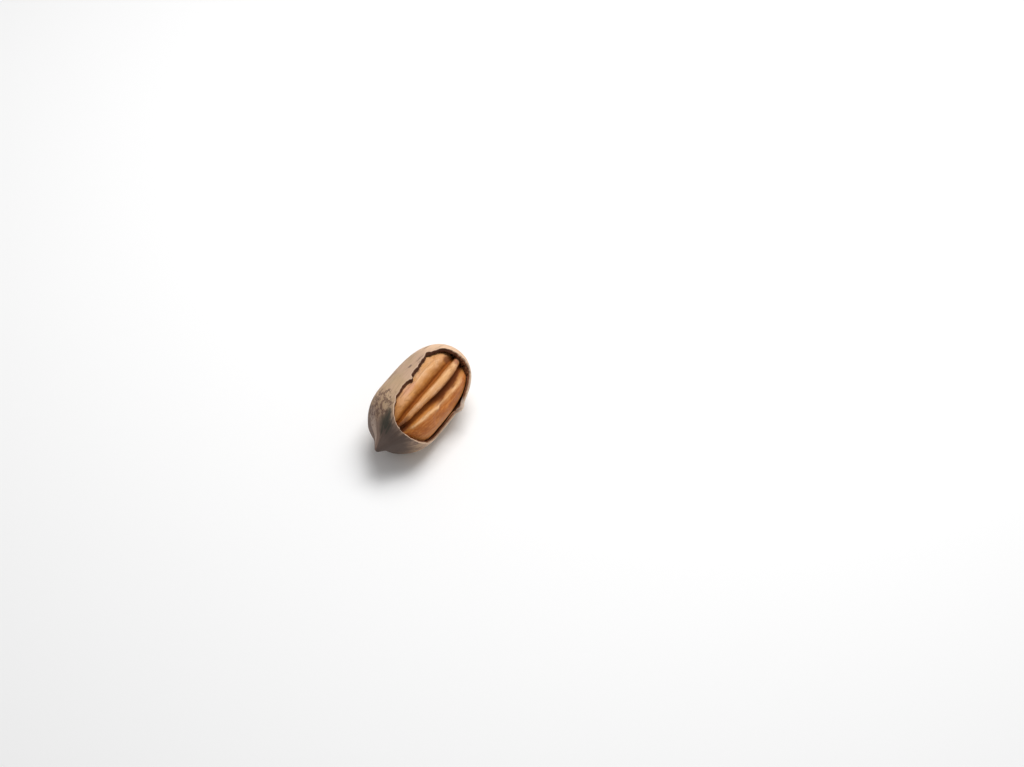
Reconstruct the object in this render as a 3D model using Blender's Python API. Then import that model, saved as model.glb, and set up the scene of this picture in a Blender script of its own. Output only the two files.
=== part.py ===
"""A pecan lying on its side, with a window broken out of its shell.

X runs from the pointed tip to the stem end, Z is up, and the window faces up
and round towards -Y. The origin is under the middle of the nut, on the surface
that it lies on. All sizes are in metres, and "from the tip" means along X.
"""
import math
from functools import partial

import bmesh
import bpy
from mathutils import Vector

# The nut's round form
NUT_LENGTH = 0.0407
NUT_RADIUS = 0.01025
BELLY_FROM_TIP = 0.0189
TIP_FULLNESS = 3.3
STEM_FULLNESS = 3.4
STEM_ROUNDNESS = 2.2

# The beak that the tip draws out into
EGG_FROM_TIP = 0.0021
BEAK_RADIUS = 0.0003
BEAK_SLOPE = 0.82
BEAK_FADE = 0.0245
BEAK_SOFTNESS = 0.00075
BEAK_ROUNDING = 0.0004
CORNERS = 4
CORNER_TURN = math.radians(-12)
CORNER_LIFT = 0.08
CORNER_REACH = 0.017

# The scar where the nut hung, and the flat spot that it lies on
SCAR_RADIUS = 0.0013
SCAR_HEIGHT = 0.00025
FLAT_DEPTH = 0.00025

# The woody wall and the hollow inside it
WALL = 0.0008
HOLLOW_FROM_TIP = 0.0030

# The window's rim, going once round it: metres from the tip, and degrees round
# the nut from the top towards -Y. The tooth and the torn corner are near the top.
WINDOW_RIM = (
    (0.0062, 40), (0.0068, 18), (0.0085, 4), (0.0110, -3.5), (0.0145, -7.5),
    (0.0182, -7), (0.0198, -3.5), (0.0208, -8.5), (0.0220, -9.5), (0.0240, -7.5),
    (0.0255, -9.5), (0.0285, -14), (0.0304, -17), (0.0312, -12), (0.0325, -8.5),
    (0.0343, -5), (0.0357, 11),
    (0.0366, 36), (0.0368, 60), (0.0360, 77), (0.0335, 90), (0.0305, 100),
    (0.0286, 104), (0.0273, 99), (0.0259, 101), (0.0250, 113), (0.0200, 118),
    (0.0139, 115), (0.0103, 102), (0.0078, 85), (0.0065, 62),
)
WINDOW_MIDDLE = (0.0205, 46)
WINDOW_CUT = 0.0032

# A chip of the rim is bent outwards, more steeply on the side of the tip
CHIP_PLACE = (0.0264, math.radians(99))
CHIP_REACH = (0.0009, 0.0026)
CHIP_WIDTH = math.radians(13)
CHIP_LIFT = 0.0011

# The kernel's two halves and the corky plate between them
KERNEL_TURN = math.radians(37.5)
KERNEL_GAP = 0.00035
KERNEL_FROM_TIP = 0.0038
KERNEL_END = 0.0392
SHORT_LOBE_END = 0.0384
SHORT_LOBE_SIDE = (math.radians(-12), math.radians(-25))
PLATE_THICKNESS = 0.0005
PLATE_GAP = 0.0003
PLATE_FROM_TIP = 0.0042
PLATE_END = 0.0394
HALF_MIDDLE = 0.4
HALF_CROWDING = 0.5
HALF_EDGE_SOFTNESS = 0.0007
HALF_HOLLOW_DEPTH = 0.0007
HALF_HOLLOW_WIDTH = 0.0016

# The two grooves along the back of each half: their angle from the middle ridge
# at the tip end and at the stem end, their depth, and their width and how squarely
# they cut in, first on the side of the ridge and then on that of the outer lobe
NARROW_GROOVE = (math.radians(-18), math.radians(-17.5), 0.0019, (0.0008, 1.25), (0.0008, 1.25))
WIDE_GROOVE = (math.radians(12.5), math.radians(24), 0.0022, (0.0014, 1.35), (0.00062, 2.3))
GROOVE_BEND = (0.0120, 0.0270)
GROOVE_WIDENING = 0.45
GROOVE_FLARE = 1.3
FLARE_REACH = (0.0270, 0.0375)
DEEPEST_CUT = 0.7
SHOULDER_DEPTH = 0.0005
SHOULDER_WIDTH = 0.0017
NOTCH_PLACE = (0.0074, math.radians(14))
NOTCH_SIZE = (0.0016, math.radians(10))
NOTCH_DEPTH = 0.0028

# How finely each form is divided, round the nut and along it
TINY = 1e-6
SHELL_DIVISIONS = (72, 52)
HOLLOW_DIVISIONS = (56, 40)
WINDOW_DIVISIONS = (96, 16)
UPPER_HALF_DIVISIONS = (60, 36)
LOWER_HALF_DIVISIONS = (40, 26)
PLATE_DIVISIONS = 40
SHARP_ANGLE = math.radians(40)


def clamp(value, low=0.0, high=1.0):
    return max(low, min(high, value))


def ease(value):
    """A smooth step from 0 to 1."""
    value = clamp(value)
    return value * value * (3 - 2 * value)


def soft_max(a, b, softness):
    return 0.5 * (a + b + math.hypot(a - b, softness))


def soft_min(a, b, softness):
    return -soft_max(-a, -b, softness)


def egg_radius(x, start, end, radius):
    """Radius of a plain egg that is widest at the belly, x from the tip."""
    if x > BELLY_FROM_TIP:
        u = clamp((x - BELLY_FROM_TIP) / (end - BELLY_FROM_TIP))
        return radius * (1 - u ** STEM_FULLNESS) ** (1 / STEM_ROUNDNESS)
    u = clamp((BELLY_FROM_TIP - x) / (BELLY_FROM_TIP - start))
    return radius * (1 - u ** TIP_FULLNESS)


def nut_radius(x):
    """Radius of the nut's outside: the egg, with the beak at its tip."""
    egg = egg_radius(x, EGG_FROM_TIP, NUT_LENGTH, NUT_RADIUS)
    if x > BELLY_FROM_TIP:
        return egg
    beak = (BEAK_RADIUS + BEAK_SLOPE * x) * clamp(1 - x / BEAK_FADE)
    rounding = math.sqrt(1 - clamp(1 - x / BEAK_ROUNDING) ** 2)
    return min(soft_max(egg, beak, BEAK_SOFTNESS), NUT_RADIUS) * rounding


def bent_out(x, turn):
    """How far the wall is bent outwards at the chip in the rim."""
    reach = CHIP_REACH[0] if x < CHIP_PLACE[0] else CHIP_REACH[1]
    turned = math.remainder(turn - CHIP_PLACE[1], math.tau) / CHIP_WIDTH
    return CHIP_LIFT * math.exp(-((x - CHIP_PLACE[0]) / reach) ** 2 - turned ** 2)


def hollow_radius(x):
    """Radius of the hollow inside the shell, x from the tip."""
    return egg_radius(x, HOLLOW_FROM_TIP, NUT_LENGTH - WALL, NUT_RADIUS - WALL)


def spaced(along, start, end):
    """Places along X that lie closer together towards both ends."""
    return start + (end - start) * (1 - math.cos(math.pi * along)) / 2


def around_axis(x, radius, turn):
    """The point at an angle round the nut's axis, from the top towards -Y."""
    return Vector((x, -radius * math.sin(turn), radius * math.cos(turn)))


def outside_point(along, turn):
    """A point of the shell's outside, with its corners, scar and flat spot."""
    x = spaced(along, 0, NUT_LENGTH)
    radius = nut_radius(x)
    crest = (1 - abs(math.sin(CORNERS / 2 * (turn - CORNER_TURN)))) ** 2
    fade = ease(x / CORNER_REACH * 4) * ease(1 - x / CORNER_REACH)
    radius *= 1 + CORNER_LIFT * (crest - 0.25) * fade
    radius += bent_out(x, turn)
    if x > BELLY_FROM_TIP:
        x += SCAR_HEIGHT * math.exp(-(radius / SCAR_RADIUS) ** 2)
    point = around_axis(x, radius, turn)
    point.z = max(point.z, FLAT_DEPTH - NUT_RADIUS)
    return point


def hollow_point(along, turn):
    """A point of the hollow's wall."""
    x = spaced(along, HOLLOW_FROM_TIP, NUT_LENGTH - WALL)
    return around_axis(x, hollow_radius(x) + bent_out(x, turn), turn)


def rim_place(turn):
    """Where the window's rim is, on a smooth closed curve through its points."""
    step = (turn / math.tau % 1) * len(WINDOW_RIM)
    first = int(step)
    t = step - first
    places = [WINDOW_RIM[(first + i - 1) % len(WINDOW_RIM)] for i in range(4)]
    weights = (
        (-t + 2 * t ** 2 - t ** 3) / 2,
        (2 - 5 * t ** 2 + 3 * t ** 3) / 2,
        (t + 4 * t ** 2 - 3 * t ** 3) / 2,
        (t ** 3 - t ** 2) / 2,
    )
    return [sum(w * place[i] for w, place in zip(weights, places)) for i in range(2)]


def window_point(along, turn):
    """A point of the window's cutter, whose sides stand square to the wall."""
    spread = clamp(math.sin(math.pi * along) / math.sin(math.pi / 4))
    rim = rim_place(turn)
    x, degrees = (m + spread * (r - m) for m, r in zip(WINDOW_MIDDLE, rim))
    height = WINDOW_CUT * math.cos(math.pi * along)
    step = NUT_LENGTH / 1000
    slope = (nut_radius(x + step) - nut_radius(x - step)) / (2 * step)
    lean = math.hypot(1, slope)
    x_out = x - height * slope / lean
    return around_axis(x_out, nut_radius(x) + height / lean, math.radians(degrees))


def ease_over(value, reach):
    """A smooth step from 0 at the start of a reach to 1 at its end."""
    return ease((value - reach[0]) / (reach[1] - reach[0]))


def groove_cut(x, angle, groove):
    """How deep a groove and its shoulders are, at an angle from the ridge.

    Towards the stem end each groove flares on the side of its outer lobe, so
    that the lobes there end one by one.
    """
    start, end, depth, ridge_side, lobe_side = groove
    bend = ease_over(x, GROOVE_BEND)
    middle = start + (end - start) * bend
    width, squareness = ridge_side
    if (angle - middle) * end > 0:
        width, squareness = lobe_side
        width *= 1 + GROOVE_FLARE * ease_over(x, FLARE_REACH)
    width *= 1 + GROOVE_WIDENING * bend
    aside = NUT_RADIUS * abs(angle - middle)
    shoulder = SHOULDER_DEPTH * math.exp(-(aside / SHOULDER_WIDTH) ** 2)
    return depth * math.exp(-(aside / width) ** squareness) + shoulder


def notch_cut(x, angle):
    """How deep the notch is that parts the lobes at the ridge's tip end."""
    off_x = (x - NOTCH_PLACE[0]) / NOTCH_SIZE[0]
    off_angle = (angle - NOTCH_PLACE[1]) / NOTCH_SIZE[1]
    return NOTCH_DEPTH * math.exp(-off_x ** 2 - off_angle ** 2)


def half_section(radius, inner, softness, spin):
    """A half's plain section: its line inside, and the reach from there to the skin.

    The section is the slice of a round nut beyond its flat, with softened edges.
    """
    middle = inner + HALF_MIDDLE * (radius - inner)
    across, outward = math.sin(spin), math.cos(spin)
    to_back = math.sqrt(radius ** 2 - (middle * across) ** 2) - middle * outward
    to_flat = (middle - inner) / max(-outward, TINY)
    return middle, max(soft_min(to_back, to_flat, softness), 0)


def kernel_point(along, spin, turn):
    """A point of a kernel half whose back faces an angle round the nut."""
    inner = PLATE_THICKNESS / 2 + PLATE_GAP
    full = NUT_RADIUS - WALL - KERNEL_GAP
    x = spaced(along, KERNEL_FROM_TIP, KERNEL_END)
    size = egg_radius(x, KERNEL_FROM_TIP, KERNEL_END, 1)
    radius = inner + size * (full - inner)
    spin -= HALF_CROWDING * math.sin(spin)
    across, outward = math.sin(spin), math.cos(spin)
    middle, reach = half_section(radius, inner, HALF_EDGE_SOFTNESS * size, spin)
    angle = math.atan2(reach * across, middle + reach * outward)

    # The grooves and the notch cut into the back, and one lobe ends early
    cut = groove_cut(x, angle, NARROW_GROOVE) + groove_cut(x, angle, WIDE_GROOVE)
    cut = (cut + notch_cut(x, angle)) * ease(outward + 0.5) * size
    shortening = (KERNEL_END - SHORT_LOBE_END) * ease_over(angle, SHORT_LOBE_SIDE)
    short_size = egg_radius(x, KERNEL_FROM_TIP, KERNEL_END - shortening, 1)
    cut += (size - short_size) * full
    reach -= min(cut, DEEPEST_CUT * reach)

    # The flat side is a little hollow along its middle
    side, out = reach * across, middle + reach * outward
    hollow = HALF_HOLLOW_DEPTH * math.exp(-(side / HALF_HOLLOW_WIDTH) ** 2)
    out += hollow * ease(-outward) * size
    return around_axis(x, math.hypot(side, out), turn + math.atan2(side, out))


def mapped_sphere(name, divisions, place):
    """A UV sphere whose poles are at the nut's ends, moved to place(along, turn)."""
    around, lengthwise = divisions
    shape = bmesh.new()
    bmesh.ops.create_uvsphere(shape, u_segments=around, v_segments=lengthwise, radius=1)
    for vertex in shape.verts:
        along = math.acos(clamp(-vertex.co.z, -1, 1)) / math.pi
        turn = math.atan2(vertex.co.y, vertex.co.x)
        vertex.co = place(along, turn)
    if shape.calc_volume(signed=True) < 0:
        bmesh.ops.reverse_faces(shape, faces=shape.faces)
    mesh = bpy.data.meshes.new(name)
    shape.to_mesh(mesh)
    shape.free()
    mesh.shade_smooth()
    mesh.set_sharp_from_angle(angle=SHARP_ANGLE)
    return bpy.data.objects.new(name, mesh)


def finish(name, colour, roughness):
    """A plain, non-metallic material."""
    material = bpy.data.materials.new(name)
    material.use_nodes = True
    surface = material.node_tree.nodes["Principled BSDF"]
    surface.inputs["Base Color"].default_value = (*colour, 1)
    surface.inputs["Roughness"].default_value = roughness
    surface.inputs["Metallic"].default_value = 0
    return material


def cut_away(target, cutter, collection):
    """Take a cutter's form out of a piece, and hide the cutter."""
    collection.objects.link(cutter)
    cutter.hide_render = True
    cutter.display_type = "WIRE"
    cut = target.modifiers.new(cutter.name, "BOOLEAN")
    cut.operation = "DIFFERENCE"
    cut.object = cutter


def make_shell(parts, cutters):
    """The woody shell: the nut's outside, less its hollow and the window."""
    shell = mapped_sphere("shell", SHELL_DIVISIONS, outside_point)
    parts.objects.link(shell)
    hollow = mapped_sphere("hollow", HOLLOW_DIVISIONS, hollow_point)
    window = mapped_sphere("window", WINDOW_DIVISIONS, window_point)
    cut_away(shell, hollow, cutters)
    cut_away(shell, window, cutters)
    shell.data.materials.append(finish("shell", (0.36, 0.25, 0.19), 0.7))
    return [shell, hollow, window]


def make_kernel(parts):
    """The two halves of the kernel, back to back across the plate."""
    skin = finish("kernel", (0.52, 0.24, 0.09), 0.5)
    sides = {
        "kernel_upper_half": (UPPER_HALF_DIVISIONS, KERNEL_TURN),
        "kernel_lower_half": (LOWER_HALF_DIVISIONS, KERNEL_TURN + math.pi),
    }
    halves = []
    for name, (divisions, turn) in sides.items():
        half = mapped_sphere(name, divisions, partial(kernel_point, turn=turn))
        half.data.materials.append(skin)
        parts.objects.link(half)
        halves.append(half)
    return halves


def make_plate(parts):
    """The corky plate that stands between the halves."""
    outline = bpy.data.curves.new("partition", "CURVE")
    outline.dimensions = "2D"
    outline.fill_mode = "BOTH"
    outline.extrude = PLATE_THICKNESS / 2
    steps = [i / PLATE_DIVISIONS for i in range(PLATE_DIVISIONS + 1)]
    places = [spaced(step, PLATE_FROM_TIP, PLATE_END) for step in steps]
    edge = [(x, hollow_radius(x) - PLATE_GAP) for x in places]
    edge += [(x, -width) for x, width in reversed(edge)]
    spline = outline.splines.new("POLY")
    spline.points.add(len(edge) - 1)
    spline.use_cyclic_u = True
    for point, (x, width) in zip(spline.points, edge):
        point.co = (x, width, 0, 1)
    plate = bpy.data.objects.new("partition", outline)
    plate.rotation_euler.x = KERNEL_TURN
    outline.materials.append(finish("partition", (0.13, 0.06, 0.03), 0.85))
    parts.objects.link(plate)
    return [plate]


def main():
    for item in list(bpy.data.objects):
        bpy.data.objects.remove(item)
    parts = bpy.data.collections.new("pecan_in_shell")
    cutters = bpy.data.collections.new("cutters")
    for collection in (parts, cutters):
        bpy.context.scene.collection.children.link(collection)

    middle = bpy.data.objects.new("nut_axis", None)
    parts.objects.link(middle)
    pieces = make_shell(parts, cutters) + make_kernel(parts) + make_plate(parts)
    for piece in pieces:
        piece.parent = middle

    # The window takes the shell's widest stretch away on one side and the bent chip
    # stands out beyond it, so the nut's axis lies a little off the middle.
    bpy.context.view_layer.update()
    shell = pieces[0].evaluated_get(bpy.context.evaluated_depsgraph_get())
    corners = [Vector(corner) for corner in shell.bound_box]
    for i in range(2):
        span = [corner[i] for corner in corners]
        middle.location[i] = -(min(span) + max(span)) / 2
    middle.location.z = NUT_RADIUS - FLAT_DEPTH


main()
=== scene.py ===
"""The looks of a pecan lying on its side, with a window broken out of its shell.

X runs from the nut's pointed tip to its stem end, and Z is up. "From the tip" means
along X, and a turn is the angle round the nut's axis, from the top towards -Y.
Meshes are in metres, and patterns in materials are in millimetres.
"""
import math

import bmesh
import bpy
import numpy as np
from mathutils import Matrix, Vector, noise
from mathutils.geometry import delaunay_2d_cdt
from mathutils.kdtree import KDTree


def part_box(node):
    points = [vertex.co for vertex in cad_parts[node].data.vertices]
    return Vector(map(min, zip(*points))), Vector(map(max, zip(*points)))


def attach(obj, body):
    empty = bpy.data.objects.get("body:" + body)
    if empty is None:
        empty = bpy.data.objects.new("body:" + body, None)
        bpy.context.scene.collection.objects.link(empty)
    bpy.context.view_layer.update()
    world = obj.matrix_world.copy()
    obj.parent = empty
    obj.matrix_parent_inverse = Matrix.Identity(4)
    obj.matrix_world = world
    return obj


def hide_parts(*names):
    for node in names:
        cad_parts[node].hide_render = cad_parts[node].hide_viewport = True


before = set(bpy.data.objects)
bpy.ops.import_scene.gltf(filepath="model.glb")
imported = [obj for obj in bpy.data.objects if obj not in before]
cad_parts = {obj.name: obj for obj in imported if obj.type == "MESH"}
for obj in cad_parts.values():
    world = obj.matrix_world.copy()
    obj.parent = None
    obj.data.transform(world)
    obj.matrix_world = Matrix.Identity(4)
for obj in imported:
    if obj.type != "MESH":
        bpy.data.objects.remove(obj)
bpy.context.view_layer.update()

# The shell
# The nut's own thin woody wall, grown in one piece, with a ribbed beak at its tip and
# a scar where it hung. The window was broken out of it, so the rim is ragged and the
# wall shows its section there.
NUT_RADIUS = 0.01025
BELLY_FROM_TIP = 0.0189
TIP_FULLNESS = 3.3
STEM_FULLNESS = 3.4
STEM_ROUNDNESS = 2.2
EGG_FROM_TIP = 0.0021
BEAK_RADIUS = 0.0003
BEAK_SLOPE = 0.82
BEAK_FADE = 0.0245
BEAK_SOFTNESS = 0.00075
BEAK_ROUNDING = 0.0004
CORNERS = 4
CORNER_TURN = math.radians(-12)
CORNER_LIFT = 0.08
CORNER_MEAN = 0.25
CORNER_REACH = 0.017
SCAR_RADIUS = 0.0013
SCAR_HEIGHT = 0.00025
SCAR_CRATER = 0.00016
CRATER_WIDTH = 0.25 * SCAR_RADIUS
FLAT_DEPTH = 0.00025
WALL = 0.0008

# Places along the outside, and the places along the hollow that face them
OUTSIDE_STATIONS = (0, 0.0062, 0.0189, 0.0407)
HOLLOW_STATIONS = (0.0030, 0.0067, 0.0189, 0.0399)

# The rim, going once round the window: metres from the tip, and degrees of turn
WINDOW_RIM = (
    (0.0062, 40), (0.0068, 18), (0.0085, 4), (0.0110, -3.5), (0.0145, -7.5),
    (0.0182, -7), (0.0198, -3.5), (0.0208, -8.5), (0.0220, -9.5), (0.0240, -8.5),
    (0.0255, -10.5), (0.0285, -15.2), (0.0304, -18.2), (0.0312, -12.5), (0.0325, -8.5),
    (0.0343, -5), (0.0357, 11), (0.0366, 36), (0.0368, 60), (0.0360, 77),
    (0.0335, 90), (0.0305, 100), (0.0286, 104), (0.0273, 99), (0.0259, 101),
    (0.0250, 113), (0.0200, 118), (0.0139, 115), (0.0103, 102), (0.0078, 85),
    (0.0065, 62),
)

# A chip of the rim is bent outwards, more steeply on the side of the tip
CHIP_PLACE = (0.0264, math.radians(99))
CHIP_REACH = (0.0009, 0.0026)
CHIP_WIDTH = math.radians(13)
CHIP_LIFT = 0.0011

# The break: its corners' spacing and height, and the same for the slant of the wall's
# section. It is smoother near the tip and low on the side than elsewhere. Its turns,
# here and for the lean, are in radians.
JAGS = ((0.0017, 0.00026), (0.00055, 0.00012))
SLANTS = ((0.0013, 0.00020), (0.0004, 0.00006))
LEAST_RAGGED = 0.35
RAGGED_START = 0.009
RAGGED_FADE = 0.004
RAGGED_LAST_TURN = 1.75
RAGGED_TURN_FADE = 0.5

# On the upper left the wall broke aslant, so that more of its section shows
WALL_LEAN = 0.00032
LEAN_START_FADE = 0.012
LEAN_END = 0.0325
LEAN_END_FADE = 0.002
LEAN_LAST_TURN = 0.35
LEAN_TURN_FADE = 0.3

# Relief: its depth, the length and width of its swells, and its lot of noise
DENTS = (0.00004, 0.007, 0.0042, 0)
GRAIN = (0.000010, 0.011, 0.0007, 1)
WRINKLES = (0.00004, 0.0035, 0.0006, 2)
PITS = (0.00016, 0.00075, 0.00055, 3)
SHREDS = (0.00008, 0.004, 0.0008, 4)
FINE_CRUMBLE = (0.00009, 0.00035, 0.00035, 5)
COARSE_CRUMBLE = (0.000045, 0.0012, 0.0012, 6)
WRINKLED_TIP = 0.010
WRINKLED_STEM_END = 0.004
PIT_EDGE = 0.12
PITTED_PLACE = ((0.0098, -30), (0.0048, 36))
SMOOTH_POLE = 0.0012
SMOOTH_HOLLOW_POLE = 0.004

# The mesh: the skin is laid flat from a seam underneath, with rows beside the rim
SEAM_TURN = math.radians(-134)
OUTSIDE_SPACING = 0.00021
INSIDE_SPACING = 0.00045
RIM_POINTS = 960
RIM_RINGS = (0.00006, 0.00015)
EDGE_CHAMFER = 0.00006
WALL_ROWS = 9
LINING_LIP = 0.00022
LINING_REACH = 0.0009
WELD = 2e-6
SHARP_EDGE = math.radians(50)

shell_low, shell_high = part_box("shell")
tip_x = shell_low.x
axis_y = shell_high.y - NUT_RADIUS
axis_z = shell_low.z + NUT_RADIUS - FLAT_DEPTH
nut_length = shell_high.x - tip_x - SCAR_HEIGHT
draw = np.random.default_rng(41)


def ease(value):
    """A smooth step from 0 to 1."""
    value = np.clip(value, 0, 1)
    return value * value * (3 - 2 * value)


def egg_radius(x, start, end, radius):
    """Radius of a plain egg that is widest at the belly, x from the tip."""
    towards_stem = np.clip((x - BELLY_FROM_TIP) / (end - BELLY_FROM_TIP), 0, 1)
    towards_tip = np.clip((BELLY_FROM_TIP - x) / (BELLY_FROM_TIP - start), 0, 1)
    stem_side = (1 - towards_stem ** STEM_FULLNESS) ** (1 / STEM_ROUNDNESS)
    return radius * stem_side * (1 - towards_tip ** TIP_FULLNESS)


def nut_radius(x):
    """Radius of the nut's outside: the egg, with the beak at its tip."""
    egg = egg_radius(x, EGG_FROM_TIP, nut_length, NUT_RADIUS)
    beak = (BEAK_RADIUS + BEAK_SLOPE * x) * np.clip(1 - x / BEAK_FADE, 0, 1)
    drawn_out = (egg + beak + np.hypot(egg - beak, BEAK_SOFTNESS)) / 2
    rounding = np.sqrt(1 - np.clip(1 - x / BEAK_ROUNDING, 0, 1) ** 2)
    tip_side = np.minimum(drawn_out, NUT_RADIUS) * rounding
    return np.where(x > BELLY_FROM_TIP, egg, tip_side)


def round_axis(x, radius, turn):
    """Points at a turn round the nut's axis, with the tip at the origin."""
    return np.column_stack((x, -radius * np.sin(turn), radius * np.cos(turn)))


def swell(places, along, across, lot):
    """Smooth noise from about -1 to 1, with swells of these lengths in metres."""
    stretched = places / (along, across, across) + 17.3 * lot
    return np.array([noise.noise(Vector(place)) for place in stretched])


def sunk(places, depth, *swells):
    """Relief that only goes inwards, from 0 to twice its depth."""
    return depth * (1 + swell(places, *swells))


def near(x, turn, middle, reach):
    """A soft patch round a place: 1 in its middle, and 0 from its reach on."""
    aside = (turn - math.radians(middle[1])) / math.radians(reach[1])
    return ease(1 - np.hypot((x - middle[0]) / reach[0], aside))


def bent_out(x, turn):
    """How far the wall is bent outwards at the chip in the rim."""
    reach = np.where(x < CHIP_PLACE[0], *CHIP_REACH)
    aside = (turn - CHIP_PLACE[1]) / CHIP_WIDTH
    return CHIP_LIFT * np.exp(-((x - CHIP_PLACE[0]) / reach) ** 2 - aside ** 2)


def outside(x, turn):
    """Points of the shell's outside, with its ribs, scar, dents and fine grain."""
    radius = nut_radius(x)
    crest = (1 - abs(np.sin(CORNERS / 2 * (turn - CORNER_TURN)))) ** 2
    fade = ease(4 * x / CORNER_REACH) * ease(1 - x / CORNER_REACH)
    radius = radius * (1 + CORNER_LIFT * (crest - CORNER_MEAN) * fade)
    lift = np.where(x > BELLY_FROM_TIP, np.exp(-(radius / SCAR_RADIUS) ** 2), 0)
    crater = np.exp(-((radius - SCAR_RADIUS) / CRATER_WIDTH) ** 2) * (lift > 0)
    radius = radius + bent_out(x, turn)
    places = round_axis(x, radius, turn)

    # Every dent goes inwards, so that the nut keeps its full size
    relief = sunk(places, *DENTS) + sunk(places, *GRAIN)
    ends = ease(1 - x / WRINKLED_TIP) + ease(1 - (nut_length - x) / WRINKLED_STEM_END)
    relief += sunk(places, *WRINKLES) * ends
    depth, *swells = PITS
    pits = np.clip(swell(places, *swells) - PIT_EDGE, 0, 1)
    relief += pits * depth * near(x, turn, *PITTED_PLACE)
    radius = radius - relief * ease(radius / SMOOTH_POLE)
    places = round_axis(x + SCAR_HEIGHT * lift - SCAR_CRATER * crater, radius, turn)
    places[:, 2] = np.maximum(places[:, 2], FLAT_DEPTH - NUT_RADIUS)
    return places


def inside(x, turn):
    """Points of the hollow's wall, facing places along the outside."""
    lift = bent_out(x, turn)
    x = np.interp(x, OUTSIDE_STATIONS, HOLLOW_STATIONS)
    radius = egg_radius(x, HOLLOW_STATIONS[0], HOLLOW_STATIONS[-1], NUT_RADIUS - WALL) + lift
    places = round_axis(x, radius, turn)
    depth, *swells = SHREDS
    shreds = depth * swell(places, *swells) * ease(radius / SMOOTH_HOLLOW_POLE)
    return round_axis(x, radius * (1 - shreds / NUT_RADIUS), turn)


# The skin is laid out flat: its length from the tip one way, and round the belly
profile_x = nut_length * (1 - np.cos(np.linspace(0, math.pi, 3000))) / 2
profile_steps = np.hypot(np.diff(profile_x), np.diff(nut_radius(profile_x)))
profile_length = np.concatenate(([0], np.cumsum(profile_steps)))


def smooth_loop(stops, count):
    """Points on a smooth closed curve through the stops."""
    step = np.arange(count) / count * len(stops)
    first = step.astype(int)
    t = (step - first)[:, None]
    ahead = [np.roll(stops, 1 - i, axis=0)[first] for i in range(4)]
    weights = (
        (-t + 2 * t ** 2 - t ** 3) / 2,
        (2 - 5 * t ** 2 + 3 * t ** 3) / 2,
        (t + 4 * t ** 2 - 3 * t ** 3) / 2,
        (t ** 3 - t ** 2) / 2,
    )
    return sum(weight * place for weight, place in zip(weights, ahead))


def outward(loop):
    """Unit directions that point out of a loop that runs anticlockwise."""
    ahead = np.roll(loop, -2, axis=0) - np.roll(loop, 2, axis=0)
    side = np.column_stack((ahead[:, 1], -ahead[:, 0]))
    return side / np.linalg.norm(side, axis=1)[:, None]


def broken_edge(length, step, height):
    """Heights of a broken edge: short straight lines between random corners."""
    count = round(length[-1] / step)
    corners = (np.arange(count) + draw.uniform(-0.35, 0.35, count)) * step
    heights = draw.uniform(-height, height, count)
    return np.interp(length, corners, heights, period=length[-1])


def within(points, loop):
    """Which points lie inside a closed loop."""
    found = np.zeros(len(points), bool)
    x, y = points.T
    for (x0, y0), (x1, y1) in zip(loop, np.roll(loop, -1, axis=0)):
        if y0 != y1:
            found ^= ((y0 > y) != (y1 > y)) & (x < x0 + (x1 - x0) * (y - y0) / (y1 - y0))
    return found


def distance_to(loop, points):
    """Each point's distance from the nearest point of a loop."""
    tree = KDTree(len(loop))
    for i, (x, y) in enumerate(loop):
        tree.insert((x, y, 0), i)
    tree.balance()
    return np.array([tree.find((x, y, 0))[2] for x, y in points])


def laid_flat(spacing, rim, rings=()):
    """The skin laid flat round the rim: its points, the rim's first, and triangles."""
    girth = math.tau * NUT_RADIUS
    rows, columns = round(profile_length[-1] / spacing), round(girth / spacing)
    start = SEAM_TURN * NUT_RADIUS
    points = []
    for i, along in enumerate(np.linspace(0, profile_length[-1], rows + 1)):
        around = (np.arange(columns) + i % 2 / 2) / columns * girth
        around = np.unique(np.concatenate((around, [0, girth])))
        points.append(np.column_stack((np.full(len(around), along), start + around)))
    points = np.concatenate(points)
    points = points[distance_to(rim, points) > max(0.75 * spacing, *rings, 0)]
    for ring in rings:
        beside = rim + ring * outward(rim)
        clear = distance_to(rim, beside) > 0.8 * ring
        points = np.concatenate((points, beside[clear]))
    points = np.concatenate((rim, points[~within(points, rim)]))

    count = len(rim)
    edges = [(i, (i + 1) % count) for i in range(count)]
    places = [Vector(point) for point in points]
    corners, _, faces, *_ = delaunay_2d_cdt(places, edges, [], 0, 1e-9, False)
    points = np.array(corners)
    faces = np.array(faces)
    on_rim = np.flatnonzero((faces < count).all(axis=1))
    middles = points[faces[on_rim]].mean(axis=1)
    return points, np.delete(faces, on_rim[within(middles, rim)], axis=0)


def unrolled(flat):
    """Metres from the tip, and turns, of points on the flat skin."""
    return np.interp(flat[:, 0], profile_length, profile_x), flat[:, 1] / NUT_RADIUS


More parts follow.
